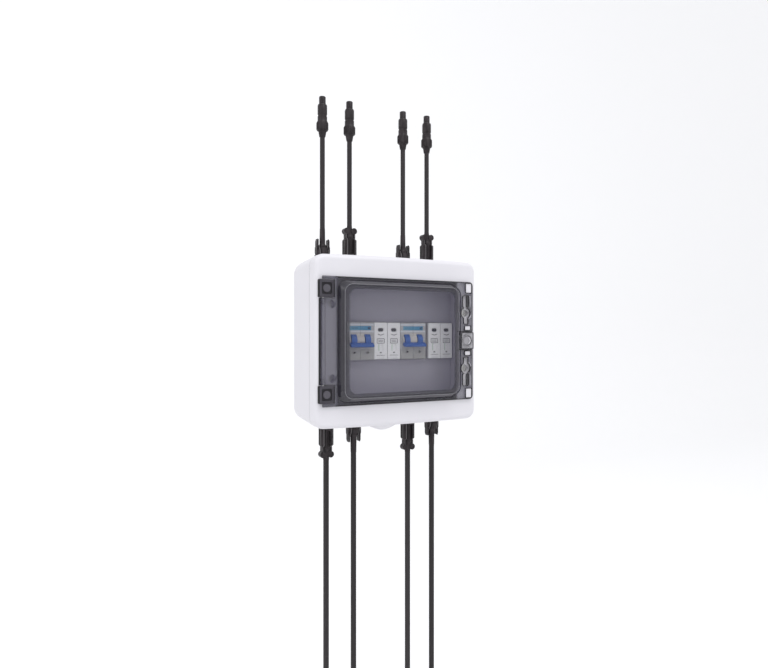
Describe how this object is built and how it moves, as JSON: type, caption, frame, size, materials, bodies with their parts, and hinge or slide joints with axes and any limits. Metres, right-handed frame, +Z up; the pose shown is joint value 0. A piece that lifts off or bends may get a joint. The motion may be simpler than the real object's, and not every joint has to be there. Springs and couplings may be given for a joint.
{
  "type": "solar combiner box",
  "caption": "Wall-mounted plastic enclosure with a smoked hinged door over rail-mounted breakers and surge arresters, and plug-in cable connectors above and below.",
  "frame": {"origin": "centre of the enclosure's flat back face, which lies on the wall", "axes": "+Z up along the wall, +X to the right seen from the front, the front faces -Y"},
  "size_m": [0.219, 0.096, 0.835],
  "materials": {
    "white_plastic": "moulded, smooth satin",
    "smoked_plastic": "clear polycarbonate, smoke tinted, polished",
    "smoked_button": "translucent smoke tinted, polished",
    "black_plastic": "moulded, fine texture",
    "grey_plastic": "moulded",
    "module_plastic": "moulded, fine texture",
    "cartridge_plastic": "moulded, fine texture",
    "blue_plastic": "moulded, satin",
    "dark_rubber": "soft, matt",
    "zinc_steel": "zinc plated",
    "brass": "drawn bar, bright",
    "cable_sheath": "cable sheath, matt",
    "wire_sheath": "wire sheath, satin",
    "earth_sheath": "wire sheath, green"
  },
  "bodies": {
    "enclosure": {"base_housing": "white_plastic", "front_cover": "white_plastic", "door_seal": "dark_rubber", "cover_gasket": "dark_rubber", "socket_seals": "dark_rubber", "hinge_block_upper": "black_plastic", "hinge_block_lower": "black_plastic", "hinge_pins": "zinc_steel", "cover_screws": "zinc_steel", "rail_screws": "zinc_steel", "terminal_screws": "zinc_steel", "mounting_rail": "zinc_steel", "earth_bar": "brass", "earth_bar_screws": "zinc_steel", "breaker_1_body": "module_plastic", "breaker_2_body": "module_plastic", "surge_base_1": "module_plastic", "surge_base_2": "module_plastic", "end_stops": "grey_plastic", "blanking_strip": "white_plastic", "socket_nuts": "black_plastic", "top_end_connectors": "black_plastic", "bottom_end_connectors": "black_plastic", "supply_wires": "wire_sheath", "load_wires": "wire_sheath", "link_wires": "wire_sheath", "earth_wires": "earth_sheath", "panel_socket_top_1": "black_plastic", "cable_coupler_top_1": "black_plastic", "cable_top_1": "cable_sheath", "panel_socket_top_2": "black_plastic", "cable_coupler_top_2": "black_plastic", "cable_top_2": "cable_sheath", "panel_socket_top_3": "black_plastic", "cable_coupler_top_3": "black_plastic", "cable_top_3": "cable_sheath", "panel_socket_top_4": "black_plastic", "cable_coupler_top_4": "black_plastic", "cable_top_4": "cable_sheath", "panel_socket_bottom_1": "black_plastic", "cable_coupler_bottom_1": "black_plastic", "cable_bottom_1": "cable_sheath", "panel_socket_bottom_2": "black_plastic", "cable_coupler_bottom_2": "black_plastic", "cable_bottom_2": "cable_sheath", "panel_socket_bottom_3": "black_plastic", "cable_coupler_bottom_3": "black_plastic", "cable_bottom_3": "cable_sheath", "panel_socket_bottom_4": "black_plastic", "cable_coupler_bottom_4": "black_plastic", "cable_bottom_4": "cable_sheath"},
    "door": {"smoked_door": "smoked_plastic", "latch_spring": "zinc_steel"},
    "latch": {"latch_button": "smoked_button"},
    "toggle_1": {"breaker_1_toggle": "blue_plastic"},
    "toggle_2": {"breaker_2_toggle": "blue_plastic"},
    "cartridge_1": {"surge_cartridge_1": "cartridge_plastic"},
    "cartridge_2": {"surge_cartridge_2": "cartridge_plastic"},
    "cartridge_3": {"surge_cartridge_3": "cartridge_plastic"},
    "cartridge_4": {"surge_cartridge_4": "cartridge_plastic"}
  },
  "joints": [
    {"name": "door_hinge", "type": "hinge", "parent": "enclosure", "child": "door", "pos_m": [-0.1012, -0.086, 0], "axis": [0, 0, -1], "range_deg": [0, 110]},
    {"name": "latch_press", "type": "slide", "parent": "door", "child": "latch", "axis": [0, 1, 0], "range_m": [0, 0.0015], "stiffness_N_per_m": 300, "springref_m": -0.002},
    {"name": "breaker_1_switch", "type": "hinge", "parent": "enclosure", "child": "toggle_1", "pos_m": [0, -0.064, 0.0005], "axis": [-1, 0, 0], "range_deg": [0, 60]},
    {"name": "breaker_2_switch", "type": "hinge", "parent": "enclosure", "child": "toggle_2", "pos_m": [0, -0.064, 0.0005], "axis": [-1, 0, 0], "range_deg": [0, 60]},
    {"name": "cartridge_1_pull", "type": "slide", "parent": "enclosure", "child": "cartridge_1", "axis": [0, -1, 0], "range_m": [0, 0.018]},
    {"name": "cartridge_2_pull", "type": "slide", "parent": "enclosure", "child": "cartridge_2", "axis": [0, -1, 0], "range_m": [0, 0.018]},
    {"name": "cartridge_3_pull", "type": "slide", "parent": "enclosure", "child": "cartridge_3", "axis": [0, -1, 0], "range_m": [0, 0.018]},
    {"name": "cartridge_4_pull", "type": "slide", "parent": "enclosure", "child": "cartridge_4", "axis": [0, -1, 0], "range_m": [0, 0.014]}
  ]
}
